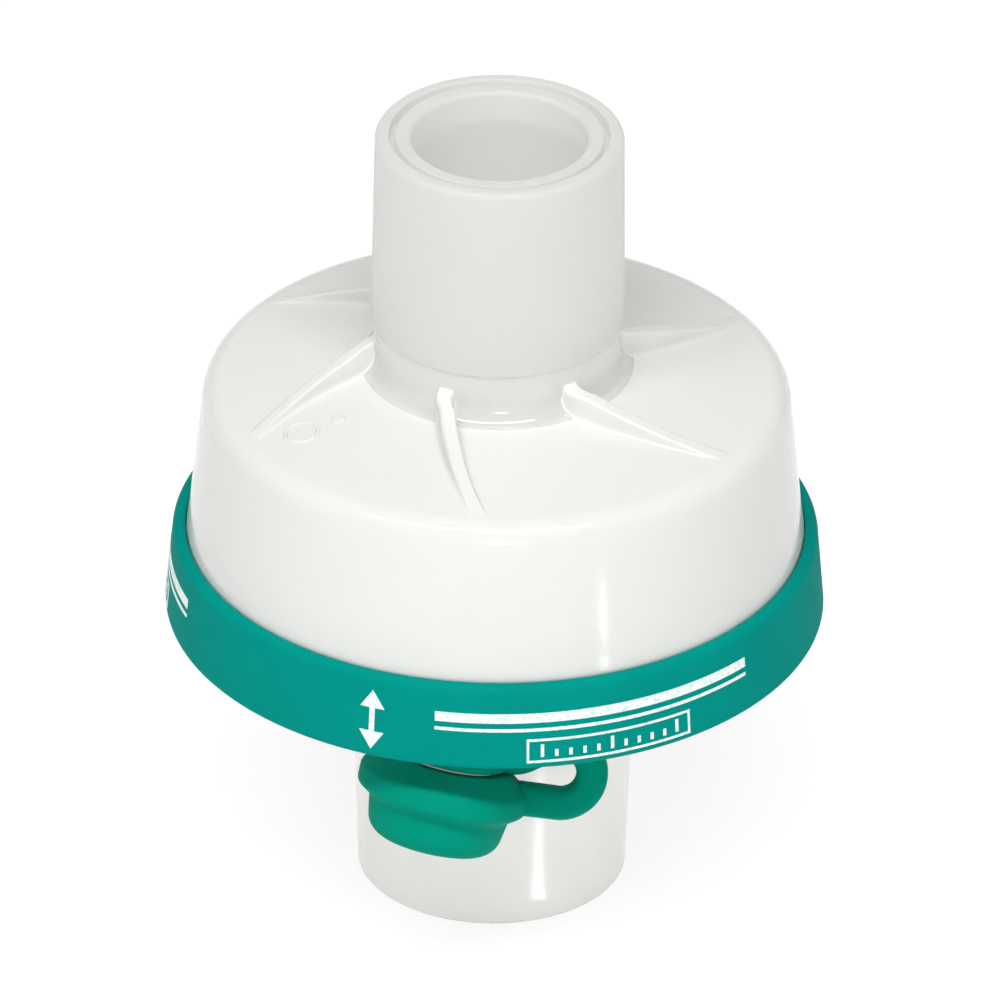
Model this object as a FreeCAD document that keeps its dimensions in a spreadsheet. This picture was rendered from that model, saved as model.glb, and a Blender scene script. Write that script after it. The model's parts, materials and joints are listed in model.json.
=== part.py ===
import FreeCAD, Part
import math
import os

import Sketcher
from FreeCAD import Placement, Rotation, Vector

# Heat and moisture exchanger with a breathing filter: a round plastic housing in two
# halves, joined by a soft ring, with a conical port at each end of the axis and a capped
# gas sampling port on the underside. The axis is Z, the origin is the centre of the lower
# port's rim, and the capped port is on the -Y side. Lengths are in millimetres.

# name, value, what it is
dimensions = [
    # upper port: 22 mm outer cone with a 15 mm socket inside it
    ("socket_mouth", 7.735, "socket radius at its mouth"),
    ("socket_taper", 0.2, "how much narrower the socket is at the end of its taper"),
    ("socket_length", 16.0, "length of the socket's taper"),
    ("socket_wall", 1.435, "wall between the socket's mouth and the rim groove"),
    ("socket_drop", 0.15, "how far the socket's end lies below the rim"),
    ("rim_groove", 0.55, "width of the groove in the rim"),
    ("rim_groove_depth", 1.2, "depth of the groove in the rim"),
    ("rim_web", 2.5, "solid plastic under the groove"),
    ("rim_wall", 1.25, "wall outside the rim groove"),
    ("cone_taper", 0.23, "how much wider the cone is at its frosted lower edge"),
    ("cone_length", 18.24, "length of the frosted cone"),
    ("rim_round", 0.55, "rounding of the rim's outer edge"),
    ("socket_round", 0.4, "rounding of the socket's mouth"),
    # collar and dome
    ("collar_step", 0.25, "step in from the cone to the clear collar"),
    ("collar_height", 4.75, "collar height from the dome to the cone"),
    ("collar_round", 1.8, "hollow rounding where the collar meets the dome"),
    ("crown_rise", 2.2, "rise of the dome from its edge to the collar"),
    ("crown_arc", 126.0, "radius of the dome's arc"),
    ("shoulder_round", 2.1, "rounding of the dome's edge"),
    ("skirt_height", 14.4, "height of the skirt from the ring to the dome's edge"),
    ("skirt_foot", 27.15, "skirt radius above its foot"),
    ("skirt_draft", 1.3, "how much narrower the skirt is at the dome's edge"),
    ("foot_flare", 0.21, "how far the skirt's foot flares"),
    ("foot_height", 1.5, "height of the flared foot"),
    ("shell_wall", 1.4, "wall of both halves"),
    # six curved gussets on the dome
    ("gusset_width", 1.5, "gusset width across"),
    ("gusset_bite", 0.55, "how far a gusset starts inside the collar"),
    ("gusset_reach", 21.75, "where it ends, along its own first direction"),
    ("gusset_sweep", 10.14, "how far it has swept sideways there"),
    ("gusset_arc", 39.0, "radius of its curve"),
    ("gusset_rise", 3.0, "gusset height at the collar"),
    ("gusset_end", 1.45, "distance from the dome's edge to where the gusset's top meets the dome"),
    ("gusset_fade", 0.25, "height of the gusset's top above the dome's edge there"),
    ("gusset_turn", 0.5, "turn of the six gussets about the axis, in degrees"),
    ("gusset_count", 6, "number of gussets"),
    # stays under the dome that hold the exchanger down
    ("stay_width", 1.2, "stay thickness"),
    ("stay_end", 2.85, "distance from the dome's edge to the end of a stay"),
    ("stay_count", 6, "number of stays"),
    # soft ring around the joint
    ("band_height", 8.0, "ring height"),
    ("band_top_wall", 0.55, "ring beyond the flanges at its upper edge"),
    ("band_low_wall", 1.25, "ring beyond the flanges at its lower edge"),
    ("band_round", 0.8, "rounding of the ring's upper edge"),
    ("band_low_round", 0.5, "rounding of the ring's lower edge"),
    ("band_top_lip", 0.95, "thickness of the ring over the upper flange"),
    ("band_low_lip", 1.7, "thickness of the ring under the lower flange"),
    ("flange_lip", 0.64, "how far both halves' flanges stand out beyond the skirt's foot"),
    ("band_overlap", 0.4, "how far the ring reaches below the underside's edge"),
    ("seam_height", 4.8, "height of the joint above the ring's lower face"),
    ("seat_gap", 0.05, "gap between faces that meet"),
    # filter and exchanger
    ("felt_thickness", 1.4, "filter felt"),
    ("scrim_thickness", 0.25, "net on each side of the felt"),
    ("felt_grip", 1.5, "how far the felt and its nets reach under the clamping edge"),
    ("felt_gap", 0.15, "gap around the felt"),
    ("clamp_step", 2.25, "distance from the skirt's foot in to the clamping edge"),
    ("clamp_height", 1.65, "height of that edge"),
    ("core_height", 13.0, "exchanger core height"),
    ("core_gap", 0.35, "gap between the core and the skirt's wall or the stays"),
    # lower half
    ("port_depth", 21.3, "depth of the 22 mm socket"),
    ("port_floor", 2.4, "plastic between the socket's floor and the underside's lowest edge"),
    ("underside_rise", 3.2, "rise of the underside from the port to the ring"),
    ("underside_step", 0.7, "step from the flanges in to the underside's edge"),
    ("port_root_wall", 1.73, "wall of the lower port at the underside"),
    ("port_mouth_wall", 0.76, "wall of the lower port at its mouth"),
    ("mouth_round", 0.3, "rounding of the lower port's rim"),
    ("neck_round", 1.2, "hollow rounding under the lower half"),
    ("port_mouth", 11.19, "22 mm socket radius at its mouth"),
    ("port_taper", 0.27, "how much narrower the 22 mm socket is at its floor"),
    ("inner_recess", 0.5, "how far the inner cone stays inside the mouth"),
    ("inner_tip", 7.535, "inner cone radius at its free end"),
    ("inner_taper", 0.2, "how much wider the inner cone is at the end of its taper"),
    ("inner_length", 16.0, "length of the inner cone's taper"),
    ("inner_wall", 1.435, "wall of the inner cone at its free end"),
    ("floor_round", 1.0, "rounding where the floor turns into the bore"),
    ("ledge_step", 0.3, "how far the ledge under the felt reaches in past the clamping edge"),
    ("bar_width", 1.2, "thickness of the bars under the felt"),
    ("bar_start", 1.1, "distance from the bore to the start of a bar"),
    ("bar_count", 12, "number of bars"),
    # sampling port, on an axis that leans outwards and to the left
    ("branch_reach", 5.89, "distance of the port's root from the lower port's wall"),
    ("branch_azimuth", 260.5, "direction of its root, in degrees"),
    ("branch_lean", 21.0, "lean from straight down, in degrees"),
    ("branch_bearing", 235.0, "direction of the lean, in degrees"),
    ("branch_neck", 3.0, "neck radius, where the tether's collar turns"),
    ("branch_barrel", 3.4, "barrel radius"),
    ("branch_stop", 3.9, "radius of the stop ring and of the mouth ring"),
    ("branch_ring", 0.8, "thickness of the stop ring and of the mouth ring"),
    ("branch_length", 10.2, "port length"),
    ("branch_root", 1.0, "how far the port is rooted in the floor"),
    ("branch_mouth", 2.15, "taper radius at its mouth"),
    ("branch_taper_end", 1.93, "taper radius at its end"),
    ("branch_taper", 7.5, "taper length"),
    ("branch_hole", 1.0, "radius of the hole into the chamber"),
    ("branch_hole_over", 3.0, "how far the hole runs past the root"),
    # cap, strap and collar
    ("fit_gap", 0.3, "gap between the cap or the collar and the port"),
    ("cap_wall", 2.1, "wall of the cap around the port, below its brim"),
    ("cap_taper", 0.6, "how much narrower the cap is at its closed end"),
    ("cap_end", 0.9, "thickness of the cap's closed end"),
    ("cap_round", 1.6, "rounding of the cap's end"),
    ("cap_brim", 1.3, "how far the brim stands out from the cap"),
    ("cap_brim_height", 1.5, "height of the brim's edge"),
    ("cap_brim_slope", 0.9, "height of the slope under the brim"),
    ("cap_depth", 4.8, "how far the cap covers the port"),
    ("plug_tip", 1.55, "radius of the plug's tip"),
    ("plug_root", 1.75, "radius of the plug's root"),
    ("plug_length", 4.0, "plug length"),
    ("collar_start", 1.3, "distance of the tether's collar from the underside"),
    ("collar_thickness", 2.1, "height of the tether's collar"),
    ("collar_wall", 1.9, "wall of the tether's collar"),
    ("collar_edge", 0.3, "rounding of the tether's collar"),
    ("strap_thickness", 2.8, "strap thickness"),
    ("strap_width", 2.8, "strap width"),
    ("strap_bend", 9.8, "distance of the bend's centre from the port's axis"),
    ("strap_rise", 0.2, "how far the bend's top lies above the port's root"),
]
sizes = {name: value for name, value, note in dimensions}


# sum of terms such as "socket_mouth + socket_wall / 2", read from left to right
def number(formula):
    total = term = 0.0
    sign = "+"
    for word in formula.split():
        if word in ("+", "-", "*", "/"):
            sign = word
            continue
        amount = sizes[word] if word in sizes else float(word)
        if sign == "*":
            term *= amount
        elif sign == "/":
            term /= amount
        else:
            total += term
            term = amount if sign == "+" else -amount
    return total + term


# the same formula with its names found in the sheet
def bound(formula):
    return " ".join("Sizes." + word if word in sizes else word for word in formula.split())


doc = FreeCAD.newDocument("HeatMoistureExchanger")
sheet = doc.addObject("Spreadsheet::Sheet", "Sizes")
for row, (name, value, note) in enumerate(dimensions, start=1):
    sheet.set(f"A{row}", name)
    sheet.set(f"B{row}", str(value))
    sheet.set(f"C{row}", note)
    sheet.setAlias(f"B{row}", name)
doc.recompute()


def origin_part(body, role):
    return next(item for item in body.Origin.OriginFeatures if item.Role == role)


def new_body(label):
    body = doc.addObject("PartDesign::Body", "Body")
    body.Label = label
    return body


# value and rule of an arc's radius, which a corner gives as a formula or as such a pair
def radius_of(corner):
    given = corner[2]
    return given if isinstance(given, tuple) else (number(given), bound(given))


# outline through its corners, closed unless it is a path; a corner with two more items starts
# an arc of that radius, turning left (1) or right (-1), and every coordinate follows the sheet
def outline(body, name, plane, corners, closed=True):
    sketch = body.newObject("Sketcher::SketchObject", name)
    sketch.AttachmentSupport = [(origin_part(body, plane), "")]
    sketch.MapMode = "FlatFace"
    points = [Vector(number(corner[0]), number(corner[1]), 0) for corner in corners]
    ends = []
    for index, corner in enumerate(corners if closed else corners[:-1]):
        start, end = points[index], points[(index + 1) % len(points)]
        if len(corner) == 2:
            edge = sketch.addGeometry(Part.LineSegment(start, end), False)
            ends.append((edge, 1, 2))
            continue
        radius, turn = radius_of(corner)[0], corner[3]
        chord = end - start
        left = Vector(-chord.y, chord.x, 0).normalize()
        centre = (start + end) * 0.5 + left * turn * math.sqrt(radius**2 - chord.Length**2 / 4)
        first, last = (start, end) if turn > 0 else (end, start)
        angles = [math.atan2(spot.y - centre.y, spot.x - centre.x) for spot in (first, last)]
        circle = Part.Circle(centre, Vector(0, 0, 1), radius)
        edge = sketch.addGeometry(Part.ArcOfCircle(circle, angles[0], angles[1]), False)
        ends.append((edge, 1, 2) if turn > 0 else (edge, 2, 1))
    for index, (edge, start, end) in enumerate(ends if closed else ends[:-1]):
        after = ends[(index + 1) % len(ends)]
        sketch.addConstraint(Sketcher.Constraint("Coincident", edge, end, after[0], after[1]))
    if not closed:
        ends.append((ends[-1][0], ends[-1][2], ends[-1][1]))
    for corner, (edge, start, end) in zip(corners, ends):
        for kind, formula, axis in (("DistanceX", corner[0], -2), ("DistanceY", corner[1], -1)):
            if formula == "0":
                sketch.addConstraint(Sketcher.Constraint("PointOnObject", edge, start, axis))
                continue
            place = Sketcher.Constraint(kind, -1, 1, edge, start, number(formula))
            index = sketch.addConstraint(place)
            sketch.setExpression(f"Constraints[{index}]", bound(formula))
        if len(corner) == 4:
            radius, rule = radius_of(corner)
            index = sketch.addConstraint(Sketcher.Constraint("Radius", edge, radius))
            sketch.setExpression(f"Constraints[{index}]", rule)
    sketch.Visibility = False
    return sketch


# body turned about its Z axis from corners given as radius and height
def turned(label, corners):
    body = new_body(label)
    sketch = outline(body, "Profile", "XZ_Plane", corners)
    feature = body.newObject("PartDesign::Revolution", "Turned")
    feature.Profile = sketch
    feature.ReferenceAxis = (sketch, ["V_Axis"])
    feature.Angle = 360
    doc.recompute()
    return body


# round edges at the given corners, each one radius and height
def rounded(body, radius, corners):
    base = body.Tip
    names = []
    for corner in corners:
        r, z = number(corner[0]), number(corner[1])
        for index, edge in enumerate(base.Shape.Edges, start=1):
            if not isinstance(edge.Curve, Part.Circle):
                continue
            if abs(edge.Curve.Radius - r) < 1e-4 and abs(edge.Curve.Center.z - z) < 1e-4:
                names.append(f"Edge{index}")
    if len(names) != len(corners):
        raise RuntimeError(f"{body.Label}: {len(names)} of {len(corners)} edges to round")
    feature = body.newObject("PartDesign::Fillet", "Rounded")
    feature.Base = (base, names)
    feature.setExpression("Radius", bound(radius))
    doc.recompute()


# equally spaced upright blades around the axis, from an outline seen from above
def blades(label, corners, height, count):
    body = new_body(label)
    sketch = outline(body, "Plan", "XY_Plane", corners)
    pad = body.newObject("PartDesign::Pad", "Blade")
    pad.Profile = sketch
    pad.setExpression("Length", bound(height))
    doc.recompute()
    pattern = body.newObject("PartDesign::PolarPattern", "Blades")
    pattern.Originals = [pad]
    pattern.Axis = (origin_part(body, "Z_Axis"), [""])
    pattern.Angle = 360
    pattern.setExpression("Occurrences", bound(count))
    body.Tip = pattern
    doc.recompute()
    return body


def combined(kind, label, first, second):
    result = doc.addObject(kind, "Combined")
    result.Label = label
    result.Base, result.Tool = first, second
    doc.recompute()
    return result


# cone or cylinder on the sampling port's axis, from a distance from the port's root
def along_branch(label, start, length, first_radius, last_radius):
    straight = first_radius == last_radius
    piece = doc.addObject("Part::Cylinder" if straight else "Part::Cone", "Along")
    piece.Label = label
    piece.setExpression("Height", bound(length))
    piece.setExpression("Radius" if straight else "Radius1", bound(first_radius))
    if not straight:
        piece.setExpression("Radius2", bound(last_radius))
    piece.Placement = branch_place.multiply(Placement(Vector(0, 0, number(start)), Rotation()))
    doc.recompute()
    return piece


# radii, upper half
groove_inner = "socket_mouth + socket_wall"
groove_outer = groove_inner + " + rim_groove"
rim_radius = groove_outer + " + rim_wall"
cone_radius = rim_radius + " + cone_taper"
collar_radius = cone_radius + " - collar_step"
socket_root = "socket_mouth - socket_taper"
shoulder_radius = "skirt_foot - skirt_draft"
foot_radius = "skirt_foot + foot_flare"
flange_radius = foot_radius + " + flange_lip"
clamp_radius = "skirt_foot - clamp_step"
felt_radius = clamp_radius + " + felt_grip"

# radii, lower half and ring
underside_radius = flange_radius + " - underside_step"
ledge_radius = clamp_radius + " - ledge_step"
port_root = "port_mouth - port_taper"
mouth_radius = "port_mouth + port_mouth_wall"
neck_radius = port_root + " + port_root_wall"
inner_root = "inner_tip + inner_taper"
inner_bore = "inner_tip - inner_wall"
band_top_radius = flange_radius + " + band_top_wall"
band_low_radius = flange_radius + " + band_low_wall"

# heights
neck_level = "port_depth + port_floor"
underside = neck_level + " + underside_rise"
band_bottom = underside + " - band_overlap"
band_top = band_bottom + " + band_height"
seam = band_bottom + " + seam_height"
shoulder = band_top + " + skirt_height"
crown = shoulder + " + crown_rise"
cone_base = crown + " + collar_height"
rim = cone_base + " + cone_length"
felt_floor = seam + " - felt_thickness - scrim_thickness * 2"
core_floor = seam + " + seat_gap * 2"
core_top = core_floor + " + core_height"
rib_floor = core_top + " + core_gap"

# upper half: port, collar, dome and skirt are one moulding
groove_floor = rim + " - rim_groove_depth"
slot_top = groove_floor + " - rim_web"
flange_top = band_top + " - band_top_lip - seat_gap"
upper_shell = turned("upper shell", [
    (rim_radius, rim),
    (cone_radius, cone_base),
    (collar_radius, cone_base),
    (collar_radius, crown, "crown_arc", -1),
    (shoulder_radius, shoulder),
    ("skirt_foot", band_top + " + foot_height"),
    (foot_radius, band_top),
    (foot_radius, flange_top),
    (flange_radius, flange_top),
    (flange_radius, seam),
    (clamp_radius, seam),
    (clamp_radius, seam + " + clamp_height"),
    ("skirt_foot - shell_wall", band_top),
    (shoulder_radius + " - shell_wall", shoulder + " - shell_wall", "crown_arc - shell_wall", 1),
    (groove_outer, crown + " - shell_wall"),
    (groove_outer, slot_top),
    (groove_inner, slot_top),
    (groove_inner, crown + " - shell_wall"),
    (socket_root, crown + " - shell_wall"),
    (socket_root, rim + " - socket_length"),
    ("socket_mouth", rim + " - socket_drop"),
    (groove_inner, rim + " - socket_drop"),
    (groove_inner, groove_floor),
    (groove_outer, groove_floor),
    (groove_outer, rim),
])
rounded(upper_shell, "collar_round", [(collar_radius, crown)])
rounded(upper_shell, "shoulder_round", [(shoulder_radius, shoulder)])
rounded(upper_shell, "rim_round", [(rim_radius, rim)])
rounded(upper_shell, "socket_round", [("socket_mouth", rim + " - socket_drop")])

gusset_root = collar_radius + " - gusset_bite"
gusset_tip = shoulder_radius + " - gusset_end"
gusset_blanks = blades("gusset blanks", [
    (gusset_root, "0", "gusset_arc", 1),
    ("gusset_reach", "gusset_sweep"),
    ("gusset_reach", "gusset_sweep + gusset_width", "gusset_arc", -1),
    (gusset_root, "gusset_width"),
], cone_base, "gusset_count")
gusset_blanks.Placement.Rotation = Rotation(Vector(0, 0, 1), number("gusset_turn"))
gusset_form = turned("gusset form", [
    (gusset_root, crown + " + gusset_rise"),
    (gusset_root, crown + " - shell_wall / 2"),
    (gusset_tip, shoulder + " - shell_wall / 2"),
    (gusset_tip, shoulder + " + gusset_fade"),
])
gussets = combined("Part::Common", "gussets", gusset_blanks, gusset_form)

stay_root = groove_inner + " - rim_wall / 2"
stay_reach = shoulder_radius + " - stay_end"
stay_blanks = blades("stay blanks", [
    (stay_root, "0"),
    (stay_reach, "0"),
    (stay_reach, "stay_width"),
    (stay_root, "stay_width"),
], crown, "stay_count")
stay_form = turned("stay form", [
    (stay_root, rib_floor),
    (stay_reach, rib_floor),
    (stay_reach, shoulder + " - shell_wall / 2"),
    (groove_outer, crown + " - shell_wall / 2"),
    (stay_root, crown + " - shell_wall / 2"),
])
stays = combined("Part::Common", "stays", stay_blanks, stay_form)

gusseted_shell = combined("Part::Fuse", "gusseted shell", upper_shell, gussets)
upper_housing = combined("Part::Fuse", "upper_housing", gusseted_shell, stays)

# lower half: underside, both tubes of the lower port and the sampling port are one moulding
inner_taper_end = "inner_recess + inner_length"
floor_start = neck_level + " + shell_wall / 2"
flange_bottom = band_bottom + " + band_low_lip + seat_gap"
lower_shell = turned("lower shell", [
    (mouth_radius, "0"),
    (neck_radius, neck_level),
    (underside_radius, underside),
    (underside_radius, flange_bottom),
    (flange_radius, flange_bottom),
    (flange_radius, seam),
    (felt_radius + " + felt_gap", seam),
    (felt_radius + " + felt_gap", felt_floor),
    (ledge_radius, felt_floor),
    (ledge_radius, underside + " + shell_wall / 2"),
    (inner_root, floor_start),
    (inner_bore, floor_start),
    (inner_bore, "inner_recess"),
    ("inner_tip", "inner_recess"),
    (inner_root, inner_taper_end),
    (inner_root, "port_depth"),
    (port_root, "port_depth"),
    ("port_mouth", "0"),
])
rounded(lower_shell, "neck_round", [(neck_radius, neck_level)])
rounded(lower_shell, "floor_round", [(inner_bore, floor_start)])
rounded(lower_shell, "mouth_round", [(mouth_radius, "0")])

bar_root = inner_bore + " + bar_start"
bar_blanks = blades("bar blanks", [
    (bar_root, "0"),
    (ledge_radius, "0"),
    (ledge_radius, "bar_width"),
    (bar_root, "bar_width"),
], seam, "bar_count")
bar_form = turned("bar form", [
    (bar_root, neck_level),
    (ledge_radius + " + felt_gap", underside),
    (ledge_radius + " + felt_gap", felt_floor),
    (bar_root, felt_floor),
])
bars = combined("Part::Common", "bars", bar_blanks, bar_form)
barred_shell = combined("Part::Fuse", "barred shell", lower_shell, bars)

# the sampling port's root lies on the sloping underside
azimuth = math.radians(sizes["branch_azimuth"])
slope = sizes["underside_rise"] / (number(underside_radius) - number(neck_radius))
branch_radius = number(neck_radius) + sizes["branch_reach"]
branch_point = Vector(
    branch_radius * math.cos(azimuth),
    branch_radius * math.sin(azimuth),
    number(neck_level) + sizes["branch_reach"] * slope,
)
lean = math.radians(sizes["branch_lean"])
bearing = math.radians(sizes["branch_bearing"])
branch_axis = Vector(
    math.sin(lean) * math.cos(bearing),
    math.sin(lean) * math.sin(bearing),
    -math.cos(lean),
)
# the strap leaves to the right, square to the port's axis
side = Vector(1, 0, 0) - branch_axis * branch_axis.x
side.normalize()
branch_turn = Rotation(side, branch_axis.cross(side), branch_axis, "ZXY")
branch_place = Placement(branch_point, branch_turn)
print("sampling port root", branch_point, "axis", branch_axis, "strap direction", side)

neck_end = "collar_start + collar_thickness + fit_gap"
barrel_length = "branch_length - collar_start - collar_thickness - fit_gap"
port = barred_shell
for label, start, length, radius in (
    ("neck", "0 - branch_root", "branch_root + " + neck_end, "branch_neck"),
    ("barrel", neck_end, barrel_length, "branch_barrel"),
    ("stop ring", neck_end, "branch_ring", "branch_stop"),
    ("mouth ring", "branch_length - branch_ring", "branch_ring", "branch_stop"),
):
    piece = along_branch(label, start, length, radius, radius)
    port = combined("Part::Fuse", "shell with " + label, port, piece)
taper = along_branch("taper", "branch_length - branch_taper", "branch_taper",
                     "branch_taper_end", "branch_mouth")
port = combined("Part::Cut", "shell with taper", port, taper)
hole = along_branch("hole", "0 - branch_hole_over", "branch_length + branch_hole_over",
                    "branch_hole", "branch_hole")
lower_housing = combined("Part::Cut", "lower_housing", port, hole)

# soft ring moulded over both flanges
ring_inner = flange_radius + " + seat_gap"
joint_band = turned("joint_band", [
    (foot_radius + " + seat_gap", band_top),
    (band_top_radius, band_top),
    (band_low_radius, band_bottom),
    (underside_radius + " + seat_gap", band_bottom),
    (underside_radius + " + seat_gap", band_bottom + " + band_low_lip"),
    (ring_inner, band_bottom + " + band_low_lip"),
    (ring_inner, band_top + " - band_top_lip"),
    (foot_radius + " + seat_gap", band_top + " - band_top_lip"),
])
rounded(joint_band, "band_round", [(band_top_radius, band_top)])
rounded(joint_band, "band_low_round", [(band_low_radius, band_bottom)])


# flat round layer
def layer(label, radius, thickness, height):
    disc = doc.addObject("Part::Cylinder", "Layer")
    disc.Label = label
    disc.setExpression("Radius", bound(radius))
    disc.setExpression("Height", bound(thickness))
    disc.setExpression("Placement.Base.z", bound(height))
    return disc


machine_scrim = layer("machine_side_scrim", felt_radius, "scrim_thickness", felt_floor)
filter_felt = layer("filter_felt", felt_radius, "felt_thickness", felt_floor + " + scrim_thickness")
patient_scrim = layer("patient_side_scrim", felt_radius, "scrim_thickness",
                      felt_floor + " + scrim_thickness + felt_thickness")
exchanger_core = layer("exchanger_core", clamp_radius + " - core_gap * 2", "core_height", core_floor)

# cap, pushed over the sampling port, with a plug in the port's taper
cap_inner = "branch_stop + fit_gap"
cap_outer = cap_inner + " + cap_wall"
cap_start = "branch_length - cap_depth"
cap_floor = "branch_length + fit_gap"
cap_finish = cap_floor + " + cap_end"
brim_edge = cap_start + " + cap_brim_height"
luer_cap = turned("luer_cap", [
    ("0", cap_finish),
    ("0", cap_floor + " - plug_length"),
    ("plug_tip", cap_floor + " - plug_length"),
    ("plug_root", cap_floor),
    (cap_inner, cap_floor),
    (cap_inner, cap_start),
    (cap_outer + " + cap_brim", cap_start),
    (cap_outer + " + cap_brim", brim_edge),
    (cap_outer, brim_edge + " + cap_brim_slope"),
    (cap_outer + " - cap_taper", cap_finish),
])
rounded(luer_cap, "cap_round", [(cap_outer + " - cap_taper", cap_finish)])
luer_cap.Placement = branch_place

# collar that turns on the port's neck
collar_inner = "branch_neck + fit_gap"
collar_outer = collar_inner + " + collar_wall"
collar_end = "collar_start + collar_thickness"
tether_collar = turned("tether_collar", [
    (collar_inner, "collar_start"),
    (collar_outer, "collar_start"),
    (collar_outer, collar_end),
    (collar_inner, collar_end),
])
rounded(tether_collar, "collar_edge", [(collar_outer, "collar_start"), (collar_outer, collar_end)])
tether_collar.Placement = branch_place

# strap: out from the brim's edge, around its bend, and down in an S to the collar
far = cap_start
near = "collar_start + collar_thickness / 2"
bend_top = "0 - strap_rise"
bend_radius = "branch_length / 2 - cap_depth / 2 + strap_rise / 2"
bend_level = "branch_length / 2 - cap_depth / 2 - strap_rise / 2"
strap_end = cap_outer + " + cap_brim + fit_gap"
half_run = "strap_bend / 2 - branch_neck / 2 - fit_gap / 2 - collar_wall / 2"
half_rise = "collar_start / 2 + collar_thickness / 4 + strap_rise / 2"
sway_level = "collar_start / 2 + collar_thickness / 4 - strap_rise / 2"
# radius of the two equal arcs of the S, from half its run and half its rise
sway = (
    (number(half_run) ** 2 + number(half_rise) ** 2) / (2 * number(half_rise)),
    f"(({bound(half_run)})^2 + ({bound(half_rise)})^2) / (2 * ({bound(half_rise)}))",
)
strap_blank = new_body("strap blank")
strap_path = outline(strap_blank, "Path", "XZ_Plane", [
    (strap_end, far),
    ("strap_bend", far, bend_radius, -1),
    ("strap_bend + " + bend_radius, bend_level, bend_radius, -1),
    ("strap_bend", bend_top, sway, -1),
    (half_run + " + branch_neck + fit_gap + collar_wall", sway_level, sway, 1),
    (collar_outer, near),
    ("branch_neck + fit_gap + collar_wall / 2", near),
], closed=False)
strap_section = outline(strap_blank, "Section", "YZ_Plane", [
    ("0 - strap_width / 2", far + " - strap_thickness / 2"),
    ("strap_width / 2", far + " - strap_thickness / 2"),
    ("strap_width / 2", far + " + strap_thickness / 2"),
    ("0 - strap_width / 2", far + " + strap_thickness / 2"),
])
strap_section.setExpression("AttachmentOffset.Base.z", bound(strap_end))
strap_pipe = strap_blank.newObject("PartDesign::AdditivePipe", "Strap")
strap_pipe.Profile = strap_section
strap_pipe.Spine = (strap_path, [f"Edge{index + 1}" for index in range(strap_path.GeometryCount)])
doc.recompute()
strap_blank.Placement = branch_place
tether_strap = combined("Part::Cut", "tether_strap", strap_blank, tether_collar)

doc.recompute()
for item in doc.Objects:
    if "Invalid" in item.State or "Error" in item.State:
        raise RuntimeError(f"{item.Label} failed: {item.State}")

pieces = [
    upper_housing, lower_housing, joint_band, patient_scrim, filter_felt, machine_scrim,
    exchanger_core, luer_cap, tether_strap, tether_collar,
]
os.makedirs("parts", exist_ok=True)
for piece in pieces:
    shape = piece.Shape
    if shape.isNull() or not shape.isValid() or len(shape.Solids) != 1:
        raise RuntimeError(f"{piece.Label} is not one valid solid")
    shape.exportStep(os.path.join("parts", piece.Label + ".step"))
    box = shape.BoundBox
    print(f"{piece.Label}: {shape.Volume:.1f} mm3,", " ".join(
        f"{low:.2f}..{high:.2f}" for low, high in
        ((box.XMin, box.XMax), (box.YMin, box.YMax), (box.ZMin, box.ZMax))))
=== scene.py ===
import json
import math

import bpy
import numpy as np
from mathutils import Matrix, Vector


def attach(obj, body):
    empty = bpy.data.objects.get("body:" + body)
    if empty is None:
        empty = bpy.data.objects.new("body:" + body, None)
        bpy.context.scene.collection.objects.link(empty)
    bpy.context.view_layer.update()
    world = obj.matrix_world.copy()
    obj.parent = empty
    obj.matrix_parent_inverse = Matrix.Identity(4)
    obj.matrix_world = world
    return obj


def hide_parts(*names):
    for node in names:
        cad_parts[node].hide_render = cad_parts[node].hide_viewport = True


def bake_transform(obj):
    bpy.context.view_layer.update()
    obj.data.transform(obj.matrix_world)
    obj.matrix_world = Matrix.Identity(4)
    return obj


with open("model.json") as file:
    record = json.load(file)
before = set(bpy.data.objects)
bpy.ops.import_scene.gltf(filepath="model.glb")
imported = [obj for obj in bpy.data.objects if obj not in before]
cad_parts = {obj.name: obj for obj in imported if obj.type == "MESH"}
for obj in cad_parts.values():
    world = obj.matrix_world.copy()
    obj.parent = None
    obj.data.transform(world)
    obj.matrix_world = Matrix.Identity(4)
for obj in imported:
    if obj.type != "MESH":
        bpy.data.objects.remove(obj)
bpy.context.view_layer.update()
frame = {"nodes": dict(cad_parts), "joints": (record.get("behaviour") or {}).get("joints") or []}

# Heat and moisture exchanger with a breathing filter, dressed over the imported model.
# Lengths are written in millimetres and put into the meshes in metres. The axis is Z, the
# lower port stands on the floor at z = 0, and the capped sampling port is on the -Y side.

mm = 0.001


# hex colour as seen on screen, turned into the linear values that shader sockets take
def linear(hexColour):
    parts = [int(hexColour[place:place + 2], 16) / 255 for place in (1, 3, 5)]
    return [c / 12.92 if c <= 0.04045 else ((c + 0.055) / 1.055) ** 2.4 for c in parts] + [1.0]


# one shader node with its settings, its values and the sockets that feed it
def addNode(tree, kind, values=None, **settings):
    node = tree.nodes.new("ShaderNode" + kind)
    for name, value in settings.items():
        setattr(node, name, value)
    for name, value in (values or {}).items():
        if isinstance(value, bpy.types.NodeSocket):
            tree.links.new(value, node.inputs[name])
        else:
            node.inputs[name].default_value = value
    return node


def newMaterial(name):
    material = bpy.data.materials.new(name)
    material.use_nodes = True
    material.node_tree.nodes.clear()
    return material, material.node_tree


def finishMaterial(tree, surface):
    addNode(tree, "OutputMaterial", {"Surface": surface})


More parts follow.
